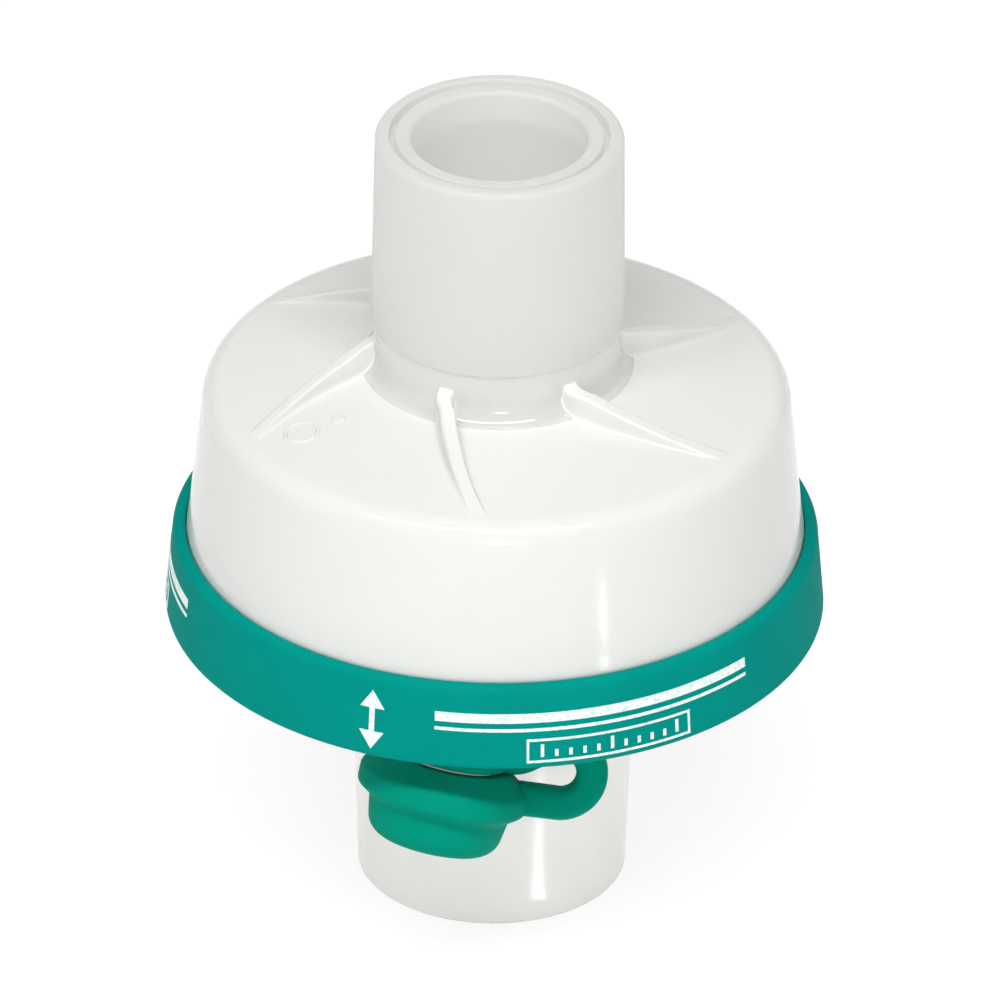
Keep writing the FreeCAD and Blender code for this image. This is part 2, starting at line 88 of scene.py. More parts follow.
# patch of faces over a grid of points in mm (rows, columns, 3). Faces look along
# rows x columns. A pole is one point that closes the first or the last row.
def gridPatch(points, joinRows=False, joinColumns=True, firstPole=None, lastPole=None):
    rows, columns = points.shape[:2]
    index = np.arange(rows * columns).reshape(rows, columns)
    after = np.roll(index, -1, axis=0) if joinRows else index[1:]
    here = index if joinRows else index[:-1]
    if joinColumns:
        hereNext, afterNext = np.roll(here, -1, axis=1), np.roll(after, -1, axis=1)
    else:
        here, hereNext, after, afterNext = here[:, :-1], here[:, 1:], after[:, :-1], after[:, 1:]
    faces = np.stack([here, after, afterNext, hereNext], axis=-1).reshape(-1, 4).tolist()
    vertices = points.reshape(-1, 3)
    if firstPole is not None:
        tip, ring = np.full(columns, len(vertices)), index[0]
        vertices = np.vstack([vertices, firstPole])
        faces += np.stack([tip, ring, np.roll(ring, -1)], axis=-1).tolist()
    if lastPole is not None:
        tip, ring = np.full(columns, len(vertices)), index[-1]
        vertices = np.vstack([vertices, lastPole])
        faces += np.stack([tip, np.roll(ring, -1), ring], axis=-1).tolist()
    return vertices, faces


# mesh object from one or more patches, smooth except where faces meet at more than the angle
def meshObject(name, patches, materials, sharp=50):
    vertices, faces, start = [], [], 0
    for spots, corners in patches:
        vertices.append(spots)
        faces += [[start + corner for corner in face] for face in corners]
        start += len(spots)
    mesh = bpy.data.meshes.new(name)
    mesh.from_pydata((np.vstack(vertices) * mm).tolist(), [], faces)
    mesh.shade_smooth()
    mesh.set_sharp_from_angle(angle=math.radians(sharp))
    for material in materials:
        mesh.materials.append(material)
    obj = bpy.data.objects.new(name, mesh)
    bpy.context.scene.collection.objects.link(obj)
    return obj


# outline through corners (x, y, radius): each corner becomes an arc that touches both its
# sides, drawn as points at equal angles between the two touching points
def softOutline(corners, closed=True, steps=5):
    spots = np.array([corner[:2] for corner in corners], float)
    count = len(corners)
    made = []
    for place, corner in enumerate(corners):
        radius = corner[2] if len(corner) > 2 else 0
        if radius == 0 or (not closed and place in (0, count - 1)):
            made.append(spots[place][None])
            continue
        before = spots[place - 1] - spots[place]
        after = spots[(place + 1) % count] - spots[place]
        before, after = before / np.linalg.norm(before), after / np.linalg.norm(after)
        half = math.acos(max(-1.0, min(1.0, float(before @ after)))) / 2
        reach = radius / math.tan(half)
        middle = before + after
        centre = spots[place] + middle / np.linalg.norm(middle) * radius / math.sin(half)
        start = spots[place] + before * reach - centre
        end = spots[place] + after * reach - centre
        turn = math.atan2(start[0] * end[1] - start[1] * end[0], start @ end)
        angles = np.linspace(0, turn, steps + 1)[:, None]
        square = np.array([-start[1], start[0]])
        made.append(centre + np.cos(angles) * start + np.sin(angles) * square)
    return np.vstack(made)


# points set at equal distances along a line of points
def evenly(path, count):
    steps = np.linalg.norm(np.diff(path, axis=0), axis=1)
    length = np.concatenate([[0], np.cumsum(steps)])
    wanted = np.linspace(0, length[-1], count)
    return np.stack([np.interp(wanted, length, values) for values in path.T], axis=1)


# profile of radius and height carried around the Z axis, as a grid of points
def lathe(profile, columns):
    turn = np.linspace(0, 2 * math.pi, columns, endpoint=False)
    radius, height = profile[:, :1], profile[:, 1:]
    return np.stack([radius * np.cos(turn), radius * np.sin(turn),
                     np.repeat(height, columns, axis=1)], axis=-1)


# camera at the photograph's angle: nearly orthographic, 30.5 degrees above the floor
cameraView = {
    "elevation": 30.54,      # degrees
    "roll": 0.66,            # degrees
    "distance": 1946.0,      # mm from the point below
    "lens": 793.6,           # mm on a 36 mm sensor
    "aim": (0, 0, 49.3),     # a point on the axis, mm
    "right": 0.265,          # the picture's centre from that point, mm to the right
    "up": -10.75,            # and upwards
}
elevation, roll = math.radians(cameraView["elevation"]), math.radians(cameraView["roll"])
back = Vector((0, -math.cos(elevation), math.sin(elevation)))
levelRight, levelUp = Vector((1, 0, 0)), Vector((0, math.sin(elevation), math.cos(elevation)))
cameraRight = levelRight * math.cos(roll) + levelUp * math.sin(roll)
cameraUp = levelUp * math.cos(roll) - levelRight * math.sin(roll)
target = Vector(cameraView["aim"]) + cameraRight * cameraView["right"] + cameraUp * cameraView["up"]
eye = (target + back * cameraView["distance"]) * mm
cameraData = bpy.data.cameras.new("photoCamera")
cameraData.lens, cameraData.sensor_width, cameraData.clip_end = cameraView["lens"], 36.0, 100.0
camera = bpy.data.objects.new("photoCamera", cameraData)
bpy.context.scene.collection.objects.link(camera)
turned = Matrix((cameraRight, cameraUp, back)).transposed().to_4x4()
camera.matrix_world = Matrix.Translation(eye) @ turned
bpy.context.scene.camera = camera
print("camera set")


# polypropylene from the mould, in four finishes. "clear" is the share of light that passes
# without being scattered, so 1 is glass-like and 0 is an opaque white. "paintedGlow" is painted
# light: the wall glows in its tint, standing in for light that wanders inside the wall and comes
# out again. "grain" is the size and "lift" the strength of relief
shellPlastic = {
    "milky": {"tint": "#F8F8F5", "clear": 0.28, "roughness": 0.14, "grain": 5.0, "lift": 0.05,
              "paintedGlow": 0.0},
    "polished": {"tint": "#FAFAF8", "clear": 0.6, "roughness": 0.08, "grain": 5.0, "lift": 0.04,
                 "paintedGlow": 0.05},
    # frosted: a grey tint as painted shade, darker than the same plastic in the other finishes, set
    # against its painted glow
    "frosted": {"tint": "#D7D6D4", "clear": 0.5, "roughness": 0.55, "grain": 0.12, "lift": 0.35,
                "paintedGlow": 0.19},
    "thick": {"tint": "#F5F4F1", "clear": 0.25, "roughness": 0.2, "grain": 5.0, "lift": 0.05,
              "paintedGlow": 0.11},
}


# milky: thin walls from a polished mould, white with a soft gloss, what is behind shows faintly.
# polished: the same plastic, thinner and clearer, with small bright and dark reflections.
# frosted: from a spark-eroded mould, an even satin finish that hides what is behind; its grey tint is
# painted shade.
# thick: two walls deep, nearly opaque white with the same soft gloss.
def polypropylene(finish):
    values = shellPlastic[finish]
    material, tree = newMaterial(finish + "Polypropylene")
    place = addNode(tree, "TexCoord").outputs["Object"]
    relief = addNode(tree, "TexNoise", {"Vector": place, "Scale": 1 / (values["grain"] * mm),
                                        "Detail": 3.0})
    skin = addNode(tree, "Bump", {"Height": relief.outputs["Fac"], "Strength": values["lift"],
                                  "Distance": values["grain"] * 0.1 * mm})
    # faint clouds where the melt flowed
    flow = addNode(tree, "TexNoise", {"Vector": place, "Scale": 1 / (11 * mm), "Detail": 2.0})
    base = linear(values["tint"])
    shade = addNode(tree, "Mix", {0: flow.outputs["Fac"], 6: [c * 0.97 for c in base[:3]] + [1.0],
                                  7: base}, data_type="RGBA")
    shader = addNode(tree, "BsdfPrincipled", {
        "Base Color": shade.outputs[2],
        "Roughness": values["roughness"],
        "IOR": 1.49,
        "Transmission Weight": values["clear"],
        # painted light: the wall glows in its own tint, standing in for light scattered through it
        "Emission Color": base,
        "Emission Strength": values["paintedGlow"],
        "Normal": skin.outputs["Normal"],
    })
    finishMaterial(tree, shader.outputs["BSDF"])
    return material


softPlastic = {
    "ring": "#008C82",
    "cap": "#008F77",
    "roughness": 0.62,
    "grain": 0.25,           # mm
}


# soft thermoplastic elastomer: even colour, satin skin that follows fine mould texture
def softElastomer(name, colour):
    material, tree = newMaterial(name)
    place = addNode(tree, "TexCoord").outputs["Object"]
    clouds = addNode(tree, "TexNoise", {"Vector": place, "Scale": 1 / (9 * mm), "Detail": 3.0})
    shade = addNode(tree, "ValToRGB", {"Fac": clouds.outputs["Fac"]})
    low, high = shade.color_ramp.elements
    base = linear(colour)
    low.position, low.color = 0.35, [c * 0.93 for c in base[:3]] + [1.0]
    high.position, high.color = 0.65, base
    grain = addNode(tree, "TexNoise", {"Vector": place, "Scale": 1 / (softPlastic["grain"] * mm),
                                       "Detail": 2.0})
    skin = addNode(tree, "Bump", {"Height": grain.outputs["Fac"], "Strength": 0.2,
                                  "Distance": 0.015 * mm})
    gloss = addNode(tree, "MapRange", {"Value": clouds.outputs["Fac"],
                                       "To Min": softPlastic["roughness"] - 0.04,
                                       "To Max": softPlastic["roughness"] + 0.06})
    shader = addNode(tree, "BsdfPrincipled", {
        "Base Color": shade.outputs["Color"],
        "Roughness": gloss.outputs["Result"],
        "IOR": 1.5,
        "Specular IOR Level": 0.02,
        "Subsurface Weight": 0.08,
        "Subsurface Scale": 0.6 * mm,
        "Normal": skin.outputs["Normal"],
    })
    finishMaterial(tree, shader.outputs["BSDF"])
    return material


corePaper = {
    "paper": "#F6F4EE",
    "shadow": "#E6E3DA",
    "turn": 1.5,             # mm from one turn of the wound strip to the next
    "flute": 1.9,            # mm from one flute to the next
    "middle": 16.0,          # mm from the axis to the middle turn
}


# wound corrugated paper: rings of small flutes, matt and slightly fibrous
def woundPaper():
    material, tree = newMaterial("woundPaper")
    place = addNode(tree, "TexCoord").outputs["Object"]
    parts = addNode(tree, "SeparateXYZ", {"Vector": place})
    reach = addNode(tree, "VectorMath", {0: addNode(tree, "CombineXYZ", {
        "X": parts.outputs["X"], "Y": parts.outputs["Y"]}).outputs["Vector"]}, operation="LENGTH")
    angle = addNode(tree, "Math", {0: parts.outputs["Y"], 1: parts.outputs["X"]}, operation="ARCTAN2")
    # turns of the spiral: distance from the axis less the angle's share of one turn
    winding = addNode(tree, "Math", {0: angle.outputs[0], 1: -corePaper["turn"] * mm / (2 * math.pi),
                                     2: reach.outputs["Value"]}, operation="MULTIPLY_ADD")
    turns = addNode(tree, "Math", {0: winding.outputs[0], 1: 2 * math.pi / (corePaper["turn"] * mm)},
                    operation="MULTIPLY")
    wall = addNode(tree, "Math", {0: turns.outputs[0]}, operation="COSINE")
    # flutes: equal steps around the middle turn
    flutes = round(2 * math.pi * corePaper["middle"] / corePaper["flute"])
    around = addNode(tree, "Math", {0: angle.outputs[0], 1: flutes}, operation="MULTIPLY")
    flute = addNode(tree, "Math", {0: around.outputs[0]}, operation="SINE")
    relief = addNode(tree, "Math", {0: wall.outputs[0], 1: flute.outputs[0]}, operation="ADD")
    fibres = addNode(tree, "TexNoise", {"Vector": place, "Scale": 1 / (0.4 * mm), "Detail": 3.0})
    height = addNode(tree, "Math", {0: relief.outputs[0], 1: 0.3, 2: fibres.outputs["Fac"]},
                     operation="MULTIPLY_ADD")
    lift = addNode(tree, "Bump", {"Height": height.outputs[0], "Strength": 0.5, "Distance": 0.25 * mm})
    mix = addNode(tree, "MapRange", {"Value": relief.outputs[0], "From Min": -1.6, "From Max": 0.4})
    colour = addNode(tree, "Mix", {0: mix.outputs["Result"], 6: linear(corePaper["shadow"]),
                                   7: linear(corePaper["paper"])}, data_type="RGBA")
    shader = addNode(tree, "BsdfPrincipled", {
        "Base Color": colour.outputs[2],
        "Roughness": 0.9,
        "Normal": lift.outputs["Normal"],
    })
    finishMaterial(tree, shader.outputs["BSDF"])
    return material


# needled polypropylene felt: tangled fine fibres
def needledFelt():
    material, tree = newMaterial("needledFelt")
    place = addNode(tree, "TexCoord").outputs["Object"]
    fibres = addNode(tree, "TexNoise", {"Vector": place, "Scale": 1 / (0.25 * mm), "Detail": 6.0,
                                        "Distortion": 2.5})
    shade = addNode(tree, "Mix", {0: fibres.outputs["Fac"], 6: linear("#D9DAD6"),
                                  7: linear("#F4F4F1")}, data_type="RGBA")
    fuzz = addNode(tree, "Bump", {"Height": fibres.outputs["Fac"], "Strength": 0.8,
                                  "Distance": 0.1 * mm})
    shader = addNode(tree, "BsdfPrincipled", {
        "Base Color": shade.outputs[2],
        "Roughness": 0.95,
        "Sheen Weight": 0.2,
        "Normal": fuzz.outputs["Normal"],
    })
    finishMaterial(tree, shader.outputs["BSDF"])
    return material


netStrand = 0.8              # mm from one strand to the next
waveBands = 3.2              # bands that a wave texture of scale 1 has in each unit of length


# extruded plastic net: two sets of strands
def extrudedNet():
    material, tree = newMaterial("extrudedNet")
    place = addNode(tree, "TexCoord").outputs["Object"]
    strands = [addNode(tree, "TexWave", {"Vector": place, "Scale": 1 / (netStrand * mm) / waveBands},
                       bands_direction=axis) for axis in ("X", "Y")]
    weave = addNode(tree, "Math", {0: strands[0].outputs["Fac"], 1: strands[1].outputs["Fac"]},
                    operation="MAXIMUM")
    shade = addNode(tree, "Mix", {0: weave.outputs[0], 6: linear("#BFC2BE"),
                                  7: linear("#F2F3F0")}, data_type="RGBA")
    lift = addNode(tree, "Bump", {"Height": weave.outputs[0], "Strength": 0.9, "Distance": 0.1 * mm})
    shader = addNode(tree, "BsdfPrincipled", {
        "Base Color": shade.outputs[2],
        "Roughness": 0.6,
        "Normal": lift.outputs["Normal"],
    })
    finishMaterial(tree, shader.outputs["BSDF"])
    return material


# pad-printed ink on the ring: a pale mint white, thin at its edges and slightly speckled
def padPrint():
    material, tree = newMaterial("padPrint")
    place = addNode(tree, "TexCoord").outputs["Object"]
    specks = addNode(tree, "TexNoise", {"Vector": place, "Scale": 1 / (0.35 * mm), "Detail": 4.0})
    worn = addNode(tree, "MapRange", {"Value": specks.outputs["Fac"],
                                      "From Min": 0.36, "From Max": 0.5})
    shade = addNode(tree, "Mix", {0: worn.outputs["Result"], 6: linear("#B9E2DA"),
                                  7: linear("#EDF6F2")}, data_type="RGBA")
    shader = addNode(tree, "BsdfPrincipled", {"Base Color": shade.outputs[2], "Roughness": 0.5})
    finishMaterial(tree, shader.outputs["BSDF"])
    return material


milky, polished = polypropylene("milky"), polypropylene("polished")
frosted, thick = polypropylene("frosted"), polypropylene("thick")
ringRubber = softElastomer("ringElastomer", softPlastic["ring"])
capRubber = softElastomer("capElastomer", softPlastic["cap"])
net = extrudedNet()
print("materials made")


def dress(node, material):
    slots = frame["nodes"][node].data.materials
    slots.clear()
    slots.append(material)


dress("upper_housing", milky)
dress("lower_housing", thick)
dress("joint_band", ringRubber)
for node in ("luer_cap", "tether_strap", "tether_collar"):
    dress(node, capRubber)
dress("exchanger_core", woundPaper())
dress("filter_felt", needledFelt())
for node in ("patient_side_scrim", "machine_side_scrim"):
    dress(node, net)


# upper half: one closed surface, an outline carried around the axis, which the gussets lift.
# Radii and heights of its corners, from the rim down
upperShell = {
    "coneTop": 10.97, "coneFoot": 11.2, "coneBase": 55.85, "rim": 74.09, "rimRound": 0.55,
    "grooveIn": 9.17, "grooveOut": 9.72, "grooveFloor": 72.89, "grooveMiddle": 73.5,
    "grooveEdge": 0.12,
    "collar": 10.95, "collarRound": 1.8, "collarLedge": 0.6, "crown": 51.1,
    "domeRadius": 126.0, "domeAxis": 0.03, "domeCentre": -74.43, "domeInside": 10.4,
    "shoulder": 25.85, "shoulderHeight": 48.9, "shoulderRound": 2.1,
    "foot": 27.15, "footHeight": 36.0, "footRound": 1.2, "flare": 27.36, "bandTop": 34.5,
    "flange": 28.0, "flangeTop": 33.5, "seam": 31.3, "clamp": 24.9, "clampTop": 32.95,
    "wall": 1.4, "tubeEnd": 49.7, "webBottom": 70.39,
    "socketEnd": 7.535, "socketMouth": 7.735, "socketTop": 73.94, "socketFloor": 58.09,
    "gussetStart": 10.4, "gussetTop": 54.1, "gussetTip": 24.4, "gussetTipHeight": 49.15,
    "gussetWidth": 1.5, "gussetEdge": 0.32, "gussetFoot": 0.5, "gussetTurn": 0.5,
    "gussetFrom": (10.4, 0.75), "gussetTo": (21.75, 10.89), "gussetArc": 39.0,
    "gussetFade": 24.34, "gussets": 6, "domeInset": 1.2, "bareLift": 0.1,
}


# angle of a gusset's middle line by distance from the axis: it follows an arc seen from above
def gussetAngle(reach):
    start, end = np.array(upperShell["gussetFrom"]), np.array(upperShell["gussetTo"])
    radius = upperShell["gussetArc"]
    chord = end - start
    left = np.array([-chord[1], chord[0]]) / np.linalg.norm(chord)
    centre = (start + end) / 2 + left * math.sqrt(radius**2 - chord @ chord / 4)
    turn = np.linspace(math.atan2(*(start - centre)[::-1]), math.atan2(*(end - centre)[::-1]), 60)
    line = centre + radius * np.stack([np.cos(turn), np.sin(turn)], axis=1)
    return np.interp(reach, np.hypot(line[:, 0], line[:, 1]), np.arctan2(line[:, 1], line[:, 0]))


# height of the dome at a distance from the axis: an arc about a centre far below
def domeHeight(reach, radius=upperShell["domeRadius"]):
    return upperShell["domeCentre"] + np.sqrt(radius**2 - (reach - upperShell["domeAxis"]) ** 2)


# height of a gusset's top: a straight line from the collar down to the dome's edge
def crestHeight(reach):
    fall = upperShell["gussetTop"] - upperShell["gussetTipHeight"]
    slope = fall / (upperShell["gussetTip"] - upperShell["gussetStart"])
    return upperShell["gussetTop"] - slope * (reach - upperShell["gussetStart"])


# outline of the rim and the frosted cone, down to the upper part of the collar
def coneOutline(shape):
    collar, base = shape["collar"], shape["coneBase"]
    outline = softOutline([
        (shape["grooveOut"], shape["grooveFloor"]),
        (shape["grooveOut"], shape["rim"], shape["grooveEdge"]),
        (shape["coneTop"], shape["rim"], shape["rimRound"]),
        (shape["coneFoot"], base, 0.14), (collar, base - 0.12, 0.06),
        (collar, base - shape["collarLedge"]),
    ], closed=False)
    # points 12 and 13 are the ends of the cone's straight side: it is cut into seven lengths
    return np.vstack([outline[1:13], evenly(outline[12:14], 8)[1:], outline[14:]])


# two outlines from the collar to the dome's edge, point by point: the valley runs between the
# gussets, down the collar's hollow rounding and over the dome, and the ridge over a gusset
def domeOutlines(shape):
    collar, start = shape["collar"], shape["coneBase"] - shape["collarLedge"]
    edge = collar + shape["collarRound"]
    bend = domeHeight(edge) + shape["collarRound"]
    rootPoints, domePoints = 22, 44
    angles = np.linspace(math.pi, 1.5 * math.pi - 0.1, 12)
    hollow = np.stack([edge + shape["collarRound"] * np.cos(angles),
                       bend + shape["collarRound"] * np.sin(angles)], axis=1)
    valleyRoot = evenly(np.vstack([[collar, start], hollow]), rootPoints)
    ridgeRoot = evenly(softOutline([
        (collar, start), (collar, crestHeight(collar), 0.5), (edge, crestHeight(edge)),
    ], closed=False, steps=8), rootPoints)
    valleyRoot[-1] = ridgeRoot[-1][0], domeHeight(edge)
    reach = np.linspace(edge, shape["gussetFade"], domePoints)[1:]
    valleyDome = np.stack([reach, domeHeight(reach)], axis=1)
    ridgeDome = np.stack([reach, np.maximum(crestHeight(reach), valleyDome[:, 1])], axis=1)
    return np.vstack([valleyRoot[1:], valleyDome]), np.vstack([ridgeRoot[1:], ridgeDome])


# outline from the dome's edge over shoulder, skirt and flange, back under the dome, and around
# both tubes and the groove in the rim
def skirtOutline(shape, domeEdge):
    wall, seam, clamp = shape["wall"], shape["seam"], shape["clamp"]
    grooveIn, grooveOut, floor = shape["grooveIn"], shape["grooveOut"], shape["grooveFloor"]
    tubeEnd, web = shape["tubeEnd"], shape["webBottom"]
    inner = np.linspace(shape["shoulder"] - wall - shape["domeInset"], shape["domeInside"], 16)
    innerDome = np.stack([inner, domeHeight(inner, shape["domeRadius"] - wall)], axis=1)
    return softOutline([
        tuple(domeEdge),
        (shape["shoulder"], shape["shoulderHeight"], shape["shoulderRound"]),
        (shape["foot"], shape["footHeight"], shape["footRound"]),
        (shape["flare"], shape["bandTop"], 0.1), (shape["flare"], shape["flangeTop"], 0.04),
        (shape["flange"], shape["flangeTop"], 0.1), (shape["flange"], seam, 0.1),
        (clamp, seam, 0.1), (clamp, shape["clampTop"], 0.3),
        (shape["foot"] - wall, shape["bandTop"], 0.6),
        (shape["shoulder"] - wall, shape["shoulderHeight"] - wall, 0.9),
        *[tuple(spot) for spot in innerDome],
        (grooveOut, tubeEnd, 0.2), (grooveOut, web, 0.1), (grooveIn, web, 0.1),
        (grooveIn, tubeEnd, 0.1), (shape["socketEnd"], tubeEnd, 0.2),
        (shape["socketEnd"], shape["socketFloor"]),
        (shape["socketMouth"], shape["socketTop"], 0.5),
        (grooveIn, shape["socketTop"], shape["grooveEdge"]),
        (grooveIn, floor, 0.06), (grooveOut, floor, 0.06), (grooveOut, shape["grooveMiddle"]),
    ], closed=False, steps=6)[1:]


# columns of the shell from one gusset's middle to the next: how far each lies along the circle,
# and its share of the rise from valley to ridge. A gusset's edges are quarter rounds: at the
# top the rise less radius times (1 - cosine), at the foot radius times (1 - sine)
def gussetColumns(shape, rise, middle):
    half = shape["gussetWidth"] / 2 * np.cos(gussetAngle(middle))
    sweep = np.linspace(0, math.pi / 2, 6)
    topRound = np.minimum(shape["gussetEdge"], rise * 0.45)
    footRound = np.minimum(shape["gussetFoot"], rise * 0.45)
    flat = np.linspace(0, 1, 4)[:-1] * (half - shape["gussetEdge"])
    crestSide = half - shape["gussetEdge"] * (1 - np.sin(sweep))
    crestRise = rise - topRound * (1 - np.cos(sweep))
    footSide = half + 0.05 + shape["gussetFoot"] * (1 - np.cos(sweep))
    footRise = footRound * (1 - np.sin(sweep))
    side = np.hstack([flat, crestSide, footSide])
    share = np.hstack([np.repeat(rise, 3, axis=1), crestRise, footRise]) / np.maximum(rise, 1e-9)
    share = np.where(rise > 1e-6, share, 0)
    pitch = middle * 2 * math.pi / shape["gussets"]
    gap = side[:, -1:] + (pitch - 2 * side[:, -1:]) * np.linspace(0, 1, 20)[1:-1]
    across = np.hstack([side, gap, (pitch - side[:, ::-1])[:, :-1]])
    return across, np.hstack([share, np.zeros_like(gap), share[:, ::-1][:, :-1]])


# finish of each face: 1 frosted on the cone's outside and the rim, 2 polished on the collar
# wherever no gusset rises from it, 0 milky elsewhere
def shellFinish(shape, radius, height, lifted, middle):
    edge = shape["collar"] + shape["collarRound"]
    rowHeight = (height.min(axis=1) + np.roll(height.min(axis=1), -1)) / 2
    rowReach = (middle[:, 0] + np.roll(middle[:, 0], -1)) / 2
    finish = np.where(rowHeight > shape["coneBase"] - 0.02, 1, 0)
    onCollar = (rowHeight > shape["crown"]) & (finish == 0) & (rowReach < edge)
    lifted = np.maximum(lifted, np.roll(lifted, -1, axis=1))
    lifted = np.maximum(lifted, np.roll(lifted, -1, axis=0))
    onWall = np.maximum(radius, np.roll(radius, -1, axis=1)) < shape["collar"] + 0.05
    onWall = onWall & np.roll(onWall, -1, axis=0)
    finish = np.repeat(finish[:, None], radius.shape[1], axis=1)
    finish[onCollar[:, None] & ((lifted < shape["bareLift"]) | onWall)] = 2
    return finish


# valley and ridge outlines carried around the axis, with a gusset wherever the ridge is followed
def buildUpperShell(shape):
    gussets = shape["gussets"]
    cone = coneOutline(shape)
    valley, ridge = domeOutlines(shape)
    rest = skirtOutline(shape, valley[-1])
    valley, ridge = np.vstack([cone, valley, rest]), np.vstack([cone, ridge, rest])
    rise = np.linalg.norm(ridge - valley, axis=1)[:, None]
    middle = valley[:, :1]
    across, share = gussetColumns(shape, rise, middle)
    radius = np.tile(valley[:, :1] + (ridge[:, :1] - valley[:, :1]) * share, gussets)
    height = np.tile(valley[:, 1:] + (ridge[:, 1:] - valley[:, 1:]) * share, gussets)
    turns = math.radians(shape["gussetTurn"]) + np.arange(gussets) * 2 * math.pi / gussets
    angle = gussetAngle(middle) + across / middle
    angle = np.hstack([angle + turn for turn in turns])
    points = np.stack([radius * np.cos(angle), radius * np.sin(angle), height], axis=-1)
    shell = meshObject("upperShell", [gridPatch(points, joinRows=True)], [milky, frosted, polished])
    finish = shellFinish(shape, radius, height, np.tile(share * rise, gussets), middle)
    shell.data.polygons.foreach_set("material_index", finish.astype(np.int32).ravel())
    return shell


shell = buildUpperShell(upperShell)
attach(shell, "housing")
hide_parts("upper_housing")
print("upper shell", len(shell.data.polygons), "faces")


# stays under the dome: six thin upright plates between the inner tube and the skirt
coreStays = {"start": 8.6, "end": 23.0, "bottom": 44.75, "thickness": 1.2, "count": 6}


# a plate's outline by distance from the axis: level below, the dome's inside above
def buildStays(shape):
    reach = np.linspace(shape["start"], shape["end"], 14)[:, None]
    top = domeHeight(np.maximum(reach, upperShell["domeInside"]),
                     upperShell["domeRadius"] - upperShell["wall"] / 2)
    low = np.full_like(reach, shape["bottom"])
    heights = np.hstack([top, top, low, low])
    across = np.tile([0, shape["thickness"], shape["thickness"], 0], (len(reach), 1))
    patches = []
    for turn in np.arange(shape["count"]) * 2 * math.pi / shape["count"]:
        x, y = np.repeat(reach, 4, axis=1), across
        points = np.stack([x * math.cos(turn) - y * math.sin(turn),
                           x * math.sin(turn) + y * math.cos(turn), heights], axis=-1)
        patches.append(gridPatch(points[:, ::-1], firstPole=points[0].mean(axis=0),
                                 lastPole=points[-1].mean(axis=0)))
    return meshObject("coreStays", patches, [milky], sharp=30)


stays = buildStays(coreStays)
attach(stays, "housing")


# cavity mark on the dome's left: a small raised ring beside a round ejector spot
cavityMark = {
    "place": (-17.1, -11.0), "radius": 1.45, "width": 0.42, "rise": 0.2, "sunk": -0.25,
    "spot": (-13.9, -9.5), "spotRadius": 0.7, "spotTop": 0.125, "spotFoot": -0.3,
    # share of the spot's radius, and height above the dome there
    "spotForm": [(0.3, 0.12), (0.7, 0.11), (0.9, 0.08), (1.0, 0.0), (1.0, -0.25)],
}


# both follow the dome: height = the dome's height plus half a cosine wave across the mark
def buildCavityMark(shape):
    around = np.linspace(0, 2 * math.pi, 40, endpoint=False)
    over = np.linspace(-1, 1, 9)
    foot = [shape["sunk"]]
    rounded = np.concatenate([foot, shape["rise"] * np.cos(over * math.pi / 2), foot])[:, None]
    reach = shape["radius"] + shape["width"] / 2 * np.concatenate([[1], -over, [-1]])[:, None]
    spotForm = np.array(shape["spotForm"])
    patches = []
    for centre, radii, lifts, closed in (
        (shape["place"], reach, rounded, True),
        (shape["spot"], shape["spotRadius"] * spotForm[:, :1], spotForm[:, 1:], False),
    ):
        x = centre[0] + radii * np.cos(around)
        y = centre[1] + radii * np.sin(around)
        z = domeHeight(np.hypot(x, y)) + lifts
        points = np.stack([x, y, z], axis=-1)
        if closed:
            patches.append(gridPatch(points[::-1], joinRows=True))
        else:
            middle = domeHeight(math.hypot(*centre))
            patches.append(gridPatch(points, firstPole=[*centre, middle + shape["spotTop"]],
                                     lastPole=[*centre, middle + shape["spotFoot"]]))
    return meshObject("cavityMark", patches, [milky])


mark = buildCavityMark(cavityMark)
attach(mark, "housing")


# soft ring moulded over both flanges
softRing = {
    "top": 34.5, "bottom": 26.5, "topRadius": 28.55, "lowRadius": 29.25,
    "topRound": 0.8, "lowRound": 0.5,
    "topInside": 27.41, "lowInside": 27.35, "flangeInside": 28.05,
    "flangeTop": 33.55, "flangeBottom": 28.2, "columns": 320,
}


# the ring's section, down its outside and up its inside, carried around the axis
def buildSoftRing(shape):
    flange = shape["flangeInside"]
    flangeTop, flangeBottom = shape["flangeTop"], shape["flangeBottom"]
    section = softOutline([
        (shape["topInside"], shape["top"], 0.25), (shape["topInside"], flangeTop, 0.1),
        (flange, flangeTop, 0.1), (flange, flangeBottom, 0.1),
        (shape["lowInside"], flangeBottom, 0.1), (shape["lowInside"], shape["bottom"], 0.3),
        (shape["lowRadius"], shape["bottom"], shape["lowRound"]),
        (shape["topRadius"], shape["top"], shape["topRound"]),
    ], steps=7)
    points = lathe(section[::-1], shape["columns"])
    return meshObject("softRing", [gridPatch(points, joinRows=True)], [ringRubber])


ring = buildSoftRing(softRing)
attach(ring, "housing")
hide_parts("joint_band")


# plain marks printed on the ring: a double-ended flow arrow, two stripes and a small scale
# in a box. Lengths run along the ring from its front, heights from its lower face
ringPrint = {
    "copies": 3, "thickness": 0.05,
    "arrow": {"at": -11.0, "low": 0.9, "high": 6.6, "shaft": 0.5, "head": 2.3, "headHeight": 1.7},
    "stripes": [(-5.2, 25.5, 4.6, 5.5), (-5.2, 25.5, 3.75, 4.05)],
    "box": {"left": 3.0, "right": 18.6, "low": 0.7, "high": 3.0, "line": 0.22},
    "ticks": 11, "tickWidth": 0.3, "tickMargin": 1.4, "tickGap": 0.55, "shortTickGap": 1.1,
    "longEvery": 5, "thinEdge": 0.01,
}


